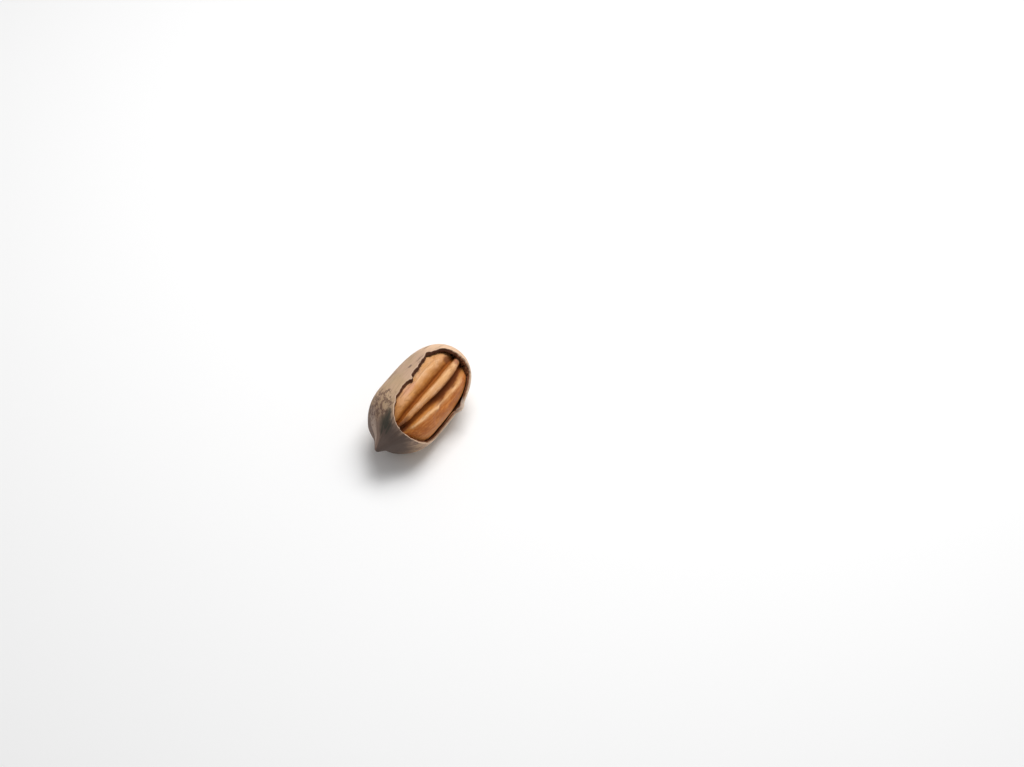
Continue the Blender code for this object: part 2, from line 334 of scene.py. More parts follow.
def make_rim():
    """The rim on the flat skin, evenly spaced, with its broken edge."""
    stops = np.array(WINDOW_RIM)
    stops[:, 0] = np.interp(stops[:, 0], profile_x, profile_length)
    stops[:, 1] = np.radians(stops[:, 1]) * NUT_RADIUS
    loop = smooth_loop(stops, 4 * RIM_POINTS)
    closed = np.vstack((loop, loop[:1]))
    steps = np.linalg.norm(np.diff(closed, axis=0), axis=1)
    length = np.concatenate(([0], np.cumsum(steps)))
    even = np.linspace(0, length[-1], RIM_POINTS + 1)
    rim = np.column_stack([np.interp(even, length, closed[:, i]) for i in range(2)])
    x, turn = unrolled(rim)
    ragged = ease((x - RAGGED_START) / RAGGED_FADE)
    ragged = ragged * ease((RAGGED_LAST_TURN - turn) / RAGGED_TURN_FADE)
    ragged = LEAST_RAGGED + (1 - LEAST_RAGGED) * ragged
    jags = sum(broken_edge(even, *jag) for jag in JAGS)
    slant = sum(broken_edge(even, *jag) for jag in SLANTS)
    leaning = ease((LEAN_LAST_TURN - turn) / LEAN_TURN_FADE)
    leaning = leaning * ease((x - RAGGED_START) / LEAN_START_FADE)
    slant -= WALL_LEAN * leaning * ease((LEAN_END - x) / LEAN_END_FADE)
    rim, jags, slant = rim[:-1], (jags * ragged)[:-1], slant[:-1]
    away = outward(rim)
    rim += jags[:, None] * away
    return rim, rim + slant[:, None] * away


def make_shell():
    """The shell as one closed mesh: its outside, the broken wall and its inside."""
    rim, inner_rim = make_rim()
    out_flat, out_faces = laid_flat(OUTSIDE_SPACING, rim, RIM_RINGS)
    in_flat, in_faces = laid_flat(INSIDE_SPACING, inner_rim)
    out_places, in_places = outside(*unrolled(out_flat)), inside(*unrolled(in_flat))
    away = distance_to(rim, out_flat)
    lip = ease(1 - distance_to(inner_rim, in_flat) / LINING_REACH)
    in_places -= (LINING_LIP * lip / NUT_RADIUS)[:, None] * in_places * (0, 1, 1)
    chamfer = EDGE_CHAMFER * (1 - np.clip(away / RIM_RINGS[-1], 0, 1)) ** 2
    toward_axis = -out_places * (0, 1, 1)
    toward_axis /= np.linalg.norm(toward_axis, axis=1)[:, None] + 1e-9
    out_places += chamfer[:, None] * toward_axis

    # The wall's rows run from the outer rim to the inner one, roughened between
    count = len(rim)
    depths = np.linspace(0, 1, WALL_ROWS + 1)[1:-1]
    rows = []
    for depth in depths:
        row = out_places[:count] * (1 - depth) + in_places[:count] * depth
        crumble = sum(height * swell(row, *swells)
                      for height, *swells in (FINE_CRUMBLE, COARSE_CRUMBLE))
        middle = row.mean(axis=0)
        towards = (middle - row) / np.linalg.norm(middle - row, axis=1)[:, None]
        rows.append(row + crumble[:, None] * towards)

    first_row = len(out_places) + len(in_places)
    loops = [range(count)]
    loops += [range(first_row + i * count, first_row + (i + 1) * count)
              for i in range(len(rows))]
    loops += [range(len(out_places), len(out_places) + count)]
    walls = [
        (above[i - 1], below[i - 1], below[i], above[i])
        for above, below in zip(loops, loops[1:])
        for i in range(count)
    ]
    faces = out_faces[:, ::-1].tolist() + (in_faces + len(out_places)).tolist() + walls
    places = np.concatenate((out_places, in_places, *rows))
    places += (tip_x, axis_y, axis_z)
    depth = np.repeat((0, 1, *depths), (len(out_flat), len(in_flat), *[count] * len(rows)))
    from_rim = np.concatenate((away, np.zeros(len(places) - len(away))))

    mesh = bpy.data.meshes.new("shell_wall")
    mesh.from_pydata(places.tolist(), [], faces)
    for name, values in (("wall_depth", depth), ("from_rim", from_rim * 1000)):
        mesh.attributes.new(name, "FLOAT", "POINT").data.foreach_set("value", values)
    slots = np.repeat((0, 1), (len(out_faces), len(faces) - len(out_faces)))
    mesh.polygons.foreach_set("material_index", slots)
    welded = bmesh.new()
    welded.from_mesh(mesh)
    bmesh.ops.remove_doubles(welded, verts=welded.verts, dist=WELD)
    welded.to_mesh(mesh)
    welded.free()
    mesh.shade_smooth()
    mesh.set_sharp_from_angle(angle=SHARP_EDGE)
    return bpy.data.objects.new("shell_wall", mesh)


class Value:
    """A socket of a node tree. Sums and products of values add Math nodes."""

    def __init__(self, recipe, socket):
        self.recipe = recipe
        self.socket = socket

    def __add__(self, other):
        return self.recipe.math("ADD", self, other)

    def __sub__(self, other):
        return self.recipe.math("SUBTRACT", self, other)

    def __rsub__(self, other):
        return self.recipe.math("SUBTRACT", other, self)

    def __mul__(self, other):
        return self.recipe.math("MULTIPLY", self, other)

    def __truediv__(self, other):
        return self.recipe.math("DIVIDE", self, other)

    def __rtruediv__(self, other):
        return self.recipe.math("DIVIDE", other, self)

    def __pow__(self, other):
        return self.recipe.math("POWER", self, other)

    def __neg__(self):
        return self.recipe.math("MULTIPLY", self, -1)

    __radd__ = __add__
    __rmul__ = __mul__


class Recipe:
    """A node tree that is written as formulas."""

    def __init__(self, tree):
        self.tree = tree
        tree.nodes.clear()

    def add(self, kind, settings=None, sockets=None, out=0):
        """One node: its settings come first, then its sockets' values and links.

        It gives the output called out, or all of them in a list where out is None.
        """
        node = self.tree.nodes.new(kind)
        for name, value in (settings or {}).items():
            setattr(node, name, value)
        for name, value in (sockets or {}).items():
            if isinstance(value, Value):
                self.tree.links.new(value.socket, node.inputs[name])
            else:
                node.inputs[name].default_value = value
        if out is None:
            return [Value(self, socket) for socket in node.outputs]
        return Value(self, node.outputs[out]) if node.outputs else None

    def math(self, operation, *values):
        settings = {"operation": operation}
        return self.add("ShaderNodeMath", settings, dict(enumerate(values)))

    def axes(self, vector):
        """A vector's three parts."""
        return self.add("ShaderNodeSeparateXYZ", {}, {0: vector}, out=None)

    def vector(self, x, y, z):
        return self.add("ShaderNodeCombineXYZ", {}, {0: x, 1: y, 2: z})

    def ease(self, value, start, end):
        """A smooth step from 0 at the start to 1 at the end."""
        settings = {"interpolation_type": "SMOOTHSTEP"}
        return self.add("ShaderNodeMapRange", settings, {0: value, 1: start, 2: end})

    def noise(self, place, scale=1.0, detail=2.0, roughness=0.5):
        sockets = {"Vector": place, "Scale": scale, "Detail": detail}
        sockets["Roughness"] = roughness
        return self.add("ShaderNodeTexNoise", {}, sockets)

    def mix(self, share, colour, other):
        """One colour where the share is 0, and the other where it is 1."""
        sockets = {0: share}
        for name, paint in ((6, colour), (7, other)):
            sockets[name] = paint if isinstance(paint, Value) else (*paint, 1)
        return self.add("ShaderNodeMix", {"data_type": "RGBA"}, sockets, out=2)


def start_finish(name):
    """A new material, and the recipe that its look is written in."""
    material = bpy.data.materials.new(name)
    material.use_nodes = True
    return material, Recipe(material.node_tree)


def nut_place(paint):
    """The place in millimetres from the tip, on the nut's axis, and the turn."""
    scale = {"Scale": (1000, 1000, 1000)}
    middle = [-1000 * part for part in (tip_x, axis_y, axis_z)]
    spot = paint.add("ShaderNodeTexCoord", out="Object")
    place = paint.add("ShaderNodeMapping", {}, {0: spot, "Location": middle, **scale})
    x, y, z = paint.axes(place)
    turn = paint.math("ARCTAN2", -y, z) * math.degrees(1)
    return place, x, y, z, turn


def patch(paint, x, turn, middle, reach):
    """A soft patch on the nut, whose middle and reach are in millimetres and degrees."""
    aside = ((x - middle[0]) / reach[0]) ** 2 + ((turn - middle[1]) / reach[1]) ** 2
    return paint.ease(aside, 1.0, 0.1)


def end_finish(paint, colour, roughness, height, depth, **sockets):
    """Wire up the surface, whose grain is height, from 0 to 1, times depth in metres."""
    grain = {"Height": height, "Distance": depth, "Strength": 1.0}
    sockets["Normal"] = paint.add("ShaderNodeBump", {}, grain)
    sockets |= {"Base Color": colour, "Roughness": roughness}
    surface = paint.add("ShaderNodeBsdfPrincipled", {}, sockets)
    paint.add("ShaderNodeOutputMaterial", {}, {"Surface": surface})


# Colours of the shell's skin, from the palest wood to the darkest scraps
PEACH_WOOD = (0.77, 0.51, 0.33)
RIM_LINE = (0.78, 0.56, 0.42)
PALE_BAND = (0.70, 0.53, 0.385)
WARM_TAN = (0.52, 0.345, 0.235)
TAN = (0.475, 0.32, 0.195)
OLIVE_TAN = (0.44, 0.325, 0.20)
BARE_TAN = (0.46, 0.34, 0.27)
SCAR_HEART = (0.44, 0.30, 0.20)
# The next brown is a painted shadow, cast by a neighbouring nut
NEIGHBOUR_SHADOW_BROWN = (0.36, 0.25, 0.185)
COLLAR_BROWN = (0.37, 0.24, 0.155)
TIP_BROWN = (0.175, 0.115, 0.094)
GRAIN_BROWN = (0.17, 0.105, 0.07)
SCAR_BROWN = (0.17, 0.095, 0.055)
SCRAP_BROWN = (0.105, 0.052, 0.036)
PORE_BROWN = (0.10, 0.055, 0.04)
STREAK_BROWN = (0.070, 0.036, 0.025)
BEAK_BROWN = (0.066, 0.048, 0.041)
GREEN_BLACK = (0.030, 0.031, 0.022)

# Patches: millimetres from the tip and degrees of turn, and how far they reach
# The first patch is where a neighbouring nut's painted shadow lies, near the stem end
NEIGHBOUR_SHADOW_PATCH = ((35.5, 94), (4.5, 24))
BARE_STRIP = ((5.0, -54), (4.8, 19))
GREEN_STAIN = ((5.6, -2), (2.6, 26))
SCRAPED_PLACE = ((9.8, -40), (5.6, 52))

# Millimetres from the tip: past the window's narrow end, and on the stem end's face
PAST_NARROW_END = (9.0, 15.0)
STEM_FACE = (30, 35)


def skin_finish():
    """The shell's outside: tan wood, with streaks and scraps of its dark skin."""
    material, paint = start_finish("shell_skin")
    place, x, y, z, turn = nut_place(paint)
    radius = paint.math("SQRT", y ** 2 + z ** 2)

    def strokes(length, count, detail=3.0, lot=0.0):
        """Noise drawn out along the nut, in so many strokes round it."""
        around = radius * (math.tau / count)
        spot = paint.vector(x / length + lot, y / around, z / around)
        return paint.noise(spot, 1.0, detail, 0.6)

    cloud = paint.noise(place, 0.16, 3.0)
    tint = strokes(9.0, 30)
    mottle = paint.noise(place, 0.55, 5.0, 0.6)
    past_narrow_end = paint.ease(x, *PAST_NARROW_END)
    stem_face = paint.ease(x, *STEM_FACE)
    colour = paint.mix(paint.ease(cloud, 0.4, 0.62), TAN, WARM_TAN)
    colour = paint.mix(paint.ease(tint, 0.5, 0.68) * 0.5, colour, OLIVE_TAN)
    to_stem = paint.ease(x + (cloud - 0.5) * 5, 29.0, 36.0)
    behind = paint.ease(x, 37.5, 40.0)
    colour = paint.mix(to_stem * (1 - behind * 0.6), colour, PEACH_WOOD)
    band = paint.ease(turn, 82, 100) * past_narrow_end
    colour = paint.mix(band * 0.75, colour, PALE_BAND)
    # Painted shadow: a neighbouring nut shades this side near the stem end
    neighbour_shadow = patch(paint, x + (mottle - 0.5) * 4, turn, *NEIGHBOUR_SHADOW_PATCH)
    colour = paint.mix(neighbour_shadow * 0.6, colour, NEIGHBOUR_SHADOW_BROWN)

    # Towards the tip the wood is grey-brown, and darkest under the beak
    to_tip = paint.ease(x + (mottle - 0.5) * 9 - paint.ease(turn, -20, -75) * 3, 11.5, 3.5)
    colour = paint.mix(to_tip * 0.92, colour, TIP_BROWN)
    beak_front = paint.ease(x + (tint - 0.5) * 6, 8.0, 5.0)
    beak_front = paint.ease(turn + (tint - 0.5) * 16, -16, -4) * beak_front
    colour = paint.mix(beak_front * 0.8, colour, BEAK_BROWN)
    strip = patch(paint, x, turn, *BARE_STRIP)
    colour = paint.mix(strip * 0.9, colour, BARE_TAN)
    smeared = x + (strokes(2.5, 40, 4.0, 5.0) - 0.5) * 9
    green = patch(paint, smeared, turn, *GREEN_STAIN)
    colour = paint.mix(green * 0.85, colour, GREEN_BLACK)

    # Streaks of dark skin run along the nut, most of them near its ends and below
    hidden = paint.ease(paint.math("ABSOLUTE", turn - 20), 75, 120)
    tip_side = paint.ease(x + (mottle - 0.5) * 5, 16.0, 8.0)
    near_scar = paint.ease(radius + (mottle - 0.5) * 5, 7.0, 2.5) * stem_face
    dense = tip_side * 0.075 + hidden * 0.045 + behind * 0.05
    dense = dense - near_scar * 0.16 + (cloud - 0.5) * 0.22
    long_streaks = paint.ease(strokes(5.5, 56, 5.0) + dense, 0.625, 0.665)
    worn = paint.ease(paint.noise(place, 2.6, 4.0, 0.65), 0.35, 0.65)
    faded = paint.ease(x, 13.0, 9.0) * (0.2 + beak_front * 0.25)
    share = long_streaks * (0.62 + worn * 0.28 - faded)
    colour = paint.mix(share, colour, STREAK_BROWN)
    scraps = paint.noise(paint.vector(x * 0.55, y, z), 1.15, 5.0, 0.7)
    scraped = patch(paint, x, turn, *SCRAPED_PLACE)
    scraps = paint.ease(scraps + scraped * 0.16 + tip_side * 0.02, 0.655, 0.69)
    colour = paint.mix(scraps * (0.55 + worn * 0.35), colour, SCRAP_BROWN)
    pores = paint.ease(strokes(0.7, 120, 1.0, 3.0), 0.79, 0.83)
    colour = paint.mix(pores * 0.7, colour, PORE_BROWN)

    # Round the stem end the wood is browner. Its scar is a rough disc with a pale heart.
    collar = paint.ease(radius + (mottle - 0.5) * 9 + (tint - 0.5) * 5, 6.0, 1.0)
    colour = paint.mix(collar * stem_face * 0.6, colour, COLLAR_BROWN)
    scar = paint.ease(radius + (mottle - 0.5) * 2.4, 1.7, 1.2) * stem_face
    colour = paint.mix(scar * 0.7, colour, SCAR_BROWN)
    heart = paint.ease(radius + (mottle - 0.5) * 1.2, 0.7, 0.4) * scar
    colour = paint.mix(heart * 0.6, colour, SCAR_HEART)

    # The wood is paler in a thin line along the broken rim
    from_rim = paint.add("ShaderNodeAttribute", {"attribute_name": "from_rim"}, out="Fac")
    chipped = paint.noise(place, 1.7, 3.0)
    line = paint.ease(from_rim + (chipped - 0.5) * 0.35, 0.20, 0.06)
    upper = paint.ease(turn, 30, 5) * past_narrow_end
    colour = paint.mix(line * (0.9 - upper * 0.55), colour, RIM_LINE)

    grain = strokes(4.0, 150, 4.0, 7.0)
    grain_share = paint.ease(grain, 0.42, 0.70) * (0.24 - beak_front * 0.12 - behind * 0.1)
    colour = paint.mix(grain_share, colour, GRAIN_BROWN)
    height = grain * 0.8 + mottle * (0.4 + scar * 1.5) + long_streaks * 0.25
    height = height + scraps * 0.3 - pores * 0.5
    sockets = {"Specular IOR Level": 0.3}
    roughness = 0.62 + mottle * 0.2 - long_streaks * 0.12
    end_finish(paint, colour, roughness, height, 0.00010, **sockets)
    return material


# Colours of the broken wall and the lining, and where the bent chip and painted light change
# them
BREAK_TAN = (0.70, 0.51, 0.36)
BREAK_BROWN = (0.43, 0.28, 0.18)
LINING_BROWN = (0.155, 0.052, 0.020)
# The next brown is part stain and part painted shade
STAIN_AND_SHADE_BROWN = (0.050, 0.017, 0.008)
# The chip's grey is clean fibres and painted light, and the lining colour after it is painted
# light
CHIP_FIBRE_AND_LIGHT = (0.52, 0.45, 0.38)
LINING_PAINTED_LIGHT = (0.60, 0.29, 0.13)
CHIP_FACE = ((27.2, 105), (3.2, 19))
LIT_PATCH_BELOW_CHIP = ((26.0, 122), (5.5, 26))


def break_finish():
    """The broken wall and the hollow: pale wood outside, a dark lining inside."""
    material, paint = start_finish("shell_break")
    place, x, _, _, turn = nut_place(paint)
    depth = paint.add("ShaderNodeAttribute", {"attribute_name": "wall_depth"}, out="Fac")
    fibre = paint.noise(place, 3.2, 4.0, 0.65)

    # Stains and painted shade darken the wall on the upper left, which faces away from the
    # light, and the more so towards the stem end
    stain_and_shade = paint.ease(turn + (paint.noise(place, 0.4, 3.0) - 0.5) * 40, 35, 0)
    stain_and_shade = stain_and_shade * paint.ease(x, *PAST_NARROW_END)
    deep = depth + (fibre - 0.5) * 0.35 + stain_and_shade * 0.3
    colour = paint.mix(paint.ease(deep, 0.05, 0.3), BREAK_TAN, BREAK_BROWN)
    colour = paint.mix(paint.ease(deep, 0.36, 0.58), colour, LINING_BROWN)
    dark = stain_and_shade * paint.ease(deep, 0.2, 0.5)
    dark = dark * (0.5 + 0.5 * paint.ease(x, 15.0, 21.0))
    colour = paint.mix(dark * 0.75, colour, STAIN_AND_SHADE_BROWN)

    # The bent chip shows clean fibres, with painted light where its patch reaches the wall deep
    # behind it. The lining below it is painted lighter, as painted light that lifts the shade
    # of the deep gap.
    chip = patch(paint, x, turn, *CHIP_FACE)
    colour = paint.mix(chip * (0.4 + fibre * 0.6), colour, CHIP_FIBRE_AND_LIGHT)
    painted_light_below_chip = patch(paint, x, turn, *LIT_PATCH_BELOW_CHIP) * paint.ease(depth, 0.6, 0.95)
    colour = paint.mix(painted_light_below_chip * 0.85, colour, LINING_PAINTED_LIGHT)
    sockets = {"Specular IOR Level": 0.2}
    end_finish(paint, colour, 0.8, fibre, 0.00018, **sockets)
    return material


def show(piece, *materials):
    """Put a finished piece in the scene, on the nut, with its materials."""
    bpy.context.scene.collection.objects.link(piece)
    for material in materials:
        piece.data.materials.append(material)
    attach(piece, "root")


shell = make_shell()
show(shell, skin_finish(), break_finish())
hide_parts("shell")

# The kernel's two halves
# Seed flesh in a thin satin skin, grown back to back in the hollow. Each half has two
# long grooves with a ridge between them, and its lobes end one by one at the stem end.
KERNEL_TURN = math.radians(37.5)
KERNEL_GAP = 0.00035
KERNEL_FROM_TIP = 0.0038
KERNEL_END = 0.0392
SHORT_LOBE_END = 0.0384
SHORT_LOBE_SIDE = (math.radians(-12), math.radians(-25))
PLATE_THICKNESS = 0.0005
PLATE_GAP = 0.0003
HALF_MIDDLE = 0.4
HALF_CROWDING = 0.5
HALF_EDGE_SOFTNESS = 0.0007
HALF_HOLLOW_DEPTH = 0.0007
HALF_HOLLOW_WIDTH = 0.0016

# The narrow groove and the wide one: their angles from the ridge towards the tip and the
# stem end, their depth, and the width and squareness of the ridge's and the lobe's side
GROOVES = (
    (math.radians(-18), math.radians(-17.5), 0.0019, (0.0008, 1.25), (0.0008, 1.25)),
    (math.radians(12.5), math.radians(24), 0.0022, (0.0015, 1.15), (0.00062, 2.3)),
)
GROOVE_BEND = (0.0120, 0.0270)
GROOVE_WIDENING = 0.45
GROOVE_FLARE = 1.3
FLARE_REACH = (0.0270, 0.0375)
DEEPEST_CUT = 0.7
SHOULDER_DEPTH = 0.0005
SHOULDER_WIDTH = 0.0017

# How the grooves wander: the noise's scale per millimetre, and the swing in radians
WANDER = ((0.35, 0.05), (1.1, 0.03))
WANDER_RADIUS = 7

# A notch by the tip, and folds of the flesh: metres from the tip, angle from the ridge,
# how far each reaches both ways, and its depth, negative where the flesh swells
FOLDS = (
    (0.0074, 14, 0.0016, 10, 0.0028),
    (0.0215, 33, 0.0040, 7, 0.0006),
    (0.0187, 28, 0.0009, 5, -0.0004),
    (0.0166, 43, 0.0008, 9, 0.0003),
    (0.0205, -27, 0.0030, 7, 0.0004),
    (0.0262, -25, 0.0022, 5, 0.0003),
    (0.0345, -3, 0.0014, 7, -0.0003),
    (0.0220, 58, 0.0095, 15, -0.00022),
)


def start_tree(name, inputs):
    """A new geometry tree, its recipe, and its named inputs."""
    tree = bpy.data.node_groups.new(name, "GeometryNodeTree")
    tree.interface.new_socket("Geometry", in_out="OUTPUT", socket_type="NodeSocketGeometry")
    for label, kind in inputs.items():
        socket_type = "NodeSocket" + kind
        tree.interface.new_socket(label, in_out="INPUT", socket_type=socket_type)
    grow = Recipe(tree)
    given = grow.add("NodeGroupInput", out=None)
    return tree, grow, given[:len(inputs)]


def on_nut(grow, x, radius, turn):
    """A place x from the tip, at a radius and a turn round the nut's axis."""
    aside, above = radius * grow.math("SINE", turn), radius * grow.math("COSINE", turn)
    return grow.vector(tip_x + x, axis_y - aside, axis_z + above)


def egg_share(grow, x, start, end):
    """The plain egg's share of its full width, in a geometry tree."""
    to_stem = grow.math("MAXIMUM", (x - BELLY_FROM_TIP) / (end - BELLY_FROM_TIP), 0)
    to_stem = grow.math("MINIMUM", to_stem, 1)
    to_tip = grow.math("MAXIMUM", (BELLY_FROM_TIP - x) / (BELLY_FROM_TIP - start), 0)
    stem_side = (1 - to_stem ** STEM_FULLNESS) ** (1 / STEM_ROUNDNESS)
    return stem_side * (1 - to_tip ** TIP_FULLNESS)


def kernel_tree():
    """The tree that shapes one half of the kernel from a round ball."""
    inputs = {
        "Turn": "Float", "Columns": "Int", "Rows": "Int",
        "Wrinkle Depth": "Float", "Seed": "Float", "Skin": "Material",
    }
    tree, grow, given = start_tree("kernel_half", inputs)
    turn, columns, rows, wrinkle_depth, seed, skin = given

    ball = {"Segments": columns, "Rings": rows, "Radius": 1.0}
    ball = grow.add("GeometryNodeMeshUVSphere", {}, ball)
    ball_x, ball_y, ball_z = grow.axes(grow.add("GeometryNodeInputPosition"))
    spin = grow.math("ARCTAN2", ball_y, ball_x)
    x = KERNEL_FROM_TIP + (ball_z + 1) * ((KERNEL_END - KERNEL_FROM_TIP) / 2)
    around, above = grow.math("SINE", spin), grow.math("COSINE", spin)
    place = grow.vector(x * 1000, around * WANDER_RADIUS, above * WANDER_RADIUS)
    lot = grow.vector(seed, seed, seed)
    place = grow.add("ShaderNodeVectorMath", {"operation": "ADD"}, {0: place, 1: lot})

    # The plain half: the slice of a round nut beyond its flat, with softened edges
    inner = PLATE_THICKNESS / 2 + PLATE_GAP
    full = NUT_RADIUS - WALL - KERNEL_GAP
    size = egg_share(grow, x, KERNEL_FROM_TIP, KERNEL_END)
    radius = inner + size * (full - inner)
    spin = spin - HALF_CROWDING * grow.math("SINE", spin)
    across, outwards = grow.math("SINE", spin), grow.math("COSINE", spin)
    middle = inner + HALF_MIDDLE * (radius - inner)
    to_back = grow.math("SQRT", radius ** 2 - (middle * across) ** 2) - middle * outwards
    to_flat = (middle - inner) / grow.math("MAXIMUM", -outwards, 0.02)
    gap = grow.math("SQRT", (to_back - to_flat) ** 2 + (HALF_EDGE_SOFTNESS * size) ** 2)
    reach = grow.math("MAXIMUM", (to_back + to_flat - gap) / 2, 0)
    angle = grow.math("ARCTAN2", reach * across, middle + reach * outwards)

    # The grooves wander a little, and flare towards the outer lobes' ends
    wander = sum((grow.noise(place, scale, 2.0) - 0.5) * swing for scale, swing in WANDER)
    bend = grow.ease(x, *GROOVE_BEND)
    flare = GROOVE_FLARE * grow.ease(x, *FLARE_REACH)
    floor = 0
    for start, end, depth, ridge_side, lobe_side in GROOVES:
        aside = angle + wander - (start + (end - start) * bend)
        outer = grow.math("GREATER_THAN", aside * math.copysign(1, end), 0)
        aside = grow.math("ABSOLUTE", aside) * NUT_RADIUS
        width = ridge_side[0] + outer * (lobe_side[0] * (1 + flare) - ridge_side[0])
        squareness = ridge_side[1] + outer * (lobe_side[1] - ridge_side[1])
        steps = aside / (width * (1 + GROOVE_WIDENING * bend))
        groove = grow.math("EXPONENT", -(steps ** squareness))
        shoulder = grow.math("EXPONENT", -((aside / SHOULDER_WIDTH) ** 2))
        floor = floor + depth * groove + SHOULDER_DEPTH * shoulder
    for fold_x, fold_angle, reach_x, reach_angle, depth in FOLDS:
        off_x = (x - fold_x) / reach_x
        off_angle = (angle - math.radians(fold_angle)) / math.radians(reach_angle)
        floor = floor + depth * grow.math("EXPONENT", -(off_x ** 2) - off_angle ** 2)
    floor = floor * grow.ease(outwards, -0.5, 0.5)
    short = (KERNEL_END - SHORT_LOBE_END) * grow.ease(angle, *SHORT_LOBE_SIDE)
    short_size = egg_share(grow, x, KERNEL_FROM_TIP, KERNEL_END - short)
    cut = floor * size + (size - short_size) * full
    reach = reach - grow.math("MINIMUM", cut, reach * DEEPEST_CUT)

    # The flat side is a little hollow along its middle
    side, out = reach * across, middle + reach * outwards
    hollow = HALF_HOLLOW_DEPTH * grow.math("EXPONENT", -((side / HALF_HOLLOW_WIDTH) ** 2))
    out = out + hollow * grow.ease(-outwards, 0, 1) * size
    radius = grow.math("SQRT", side ** 2 + out ** 2)
    spot = on_nut(grow, x, radius, turn + grow.math("ARCTAN2", side, out))
    for name, value in (("groove", floor * 1000), ("angle", angle * math.degrees(1))):
        sockets = {"Geometry": ball, "Name": name, "Value": value}
        ball = grow.add("GeometryNodeStoreNamedAttribute", {}, sockets)
    half = grow.add("GeometryNodeSetPosition", {}, {"Geometry": ball, "Position": spot})

    # Wrinkles and dents sink in from the smooth form, some of them drawn out along the
    # nut or aslant, and more of them in the grooves
    spot_x, spot_y, spot_z = grow.axes(grow.add("GeometryNodeInputPosition"))
    mm = 1000
    spot = grow.vector(spot_x * mm + seed, spot_y * mm, spot_z * mm)
    long_spot = grow.vector(spot_x * (0.3 * mm) + seed, spot_y * mm, spot_z * mm)
    aslant_x = (spot_x + spot_y) * (0.9 * mm) + seed
    aslant_y = (spot_y - spot_x * 0.5) * (0.35 * mm)
    aslant_spot = grow.vector(aslant_x, aslant_y, spot_z * (0.35 * mm))
    in_groove = grow.add("GeometryNodeInputNamedAttribute", {}, {"Name": "groove"})
    in_groove = grow.ease(in_groove, 0.5, 1.8)
    broad = 1 - grow.noise(spot, 0.28, 1.0)
    aslant = 1 - grow.noise(aslant_spot, 1.0, 2.0)
    lengthwise = 1 - grow.noise(long_spot, 1.9, 4.0, 0.6)
    rough = (1 - grow.noise(spot, 1.6, 3.0, 0.6)) * in_groove
    dents = broad * 3.0 + aslant * 2.0 + lengthwise * 2.8 + rough * 3.0
    normal = grow.add("GeometryNodeInputNormal")
    sockets = {0: normal, "Scale": -dents * wrinkle_depth}
    inwards = grow.add("ShaderNodeVectorMath", {"operation": "SCALE"}, sockets)
    half = grow.add("GeometryNodeSetPosition", {}, {"Geometry": half, "Offset": inwards})
    half = grow.add("GeometryNodeSetShadeSmooth", {}, {0: half})
    half = grow.add("GeometryNodeRealizeInstances", {}, {0: half})
    half = grow.add("GeometryNodeSetMaterial", {}, {"Geometry": half, "Material": skin})
    grow.add("NodeGroupOutput", {}, {0: half})
    return tree


def made_by(tree, name, **inputs):
    """The plain mesh object that a geometry tree makes with these inputs."""
    maker = bpy.data.objects.new(name, bpy.data.meshes.new(name))
    bpy.context.scene.collection.objects.link(maker)
    modifier = maker.modifiers.new(name, "NODES")
    modifier.node_group = tree
    for item in tree.interface.items_tree:
        key = item.name.lower().replace(" ", "_")
        if item.in_out == "INPUT" and key in inputs:
            modifier[item.identifier] = inputs[key]
    seen = maker.evaluated_get(bpy.context.evaluated_depsgraph_get())
    mesh = bpy.data.meshes.new_from_object(seen)
    bpy.data.objects.remove(maker)
    mesh.name = name
    return bpy.data.objects.new(name, mesh)


# Colours of the kernel's skin, from the palest crest to the deepest groove
# The crest's cream is a painted highlight
CREST_HIGHLIGHT_CREAM = (0.90, 0.53, 0.26)
# The ridge's cream is a painted highlight
RIDGE_HIGHLIGHT_CREAM = (0.90, 0.54, 0.26)
STREAK_CREAM = (0.82, 0.51, 0.27)
LOBE_PINK = (0.72, 0.39, 0.195)
LOBE_TAN = (0.68, 0.335, 0.125)
# The edge orange is painted light
EDGE_LIGHT_ORANGE = (0.72, 0.32, 0.10)
BLOTCH_TAN = (0.57, 0.25, 0.08)
BRUISE_PINK = (0.57, 0.25, 0.16)
# The outer lobe's oranges and browns are partly painted shade
OUTER_ORANGE = (0.58, 0.195, 0.035)
# The tip orange is partly the skin's tone and partly painted shade
TIP_ORANGE_AND_SHADE = (0.52, 0.21, 0.055)
FLANK_ORANGE = (0.47, 0.165, 0.022)
OUTER_BROWN = (0.43, 0.115, 0.014)
OUTER_BLOTCH = (0.34, 0.085, 0.012)
VEIN_BROWN = (0.36, 0.13, 0.035)
CURL_BROWN = (0.34, 0.11, 0.06)
FLECK_BROWN = (0.30, 0.10, 0.025)
END_BROWN = (0.22, 0.075, 0.03)
# The groove bottoms' browns are partly painted shade
NARROW_BOTTOM = (0.30, 0.085, 0.012)
WIDE_BOTTOM = (0.18, 0.040, 0.008)
# The wide wall's brown is painted shade
WIDE_WALL_SHADE = (0.15, 0.035, 0.006)

# Patches: millimetres from the tip and degrees of turn or, for the lobes' ends, of angle
# from the ridge, and how far they reach
BRUISE = ((17.0, 0), (3.6, 9))
CURL = ((34.8, 34), (2.0, 14))
LOBE_STEM_END = ((33.6, -25), (1.9, 9))
RIDGE_TIP_END = ((7.6, 2), (3.2, 24))


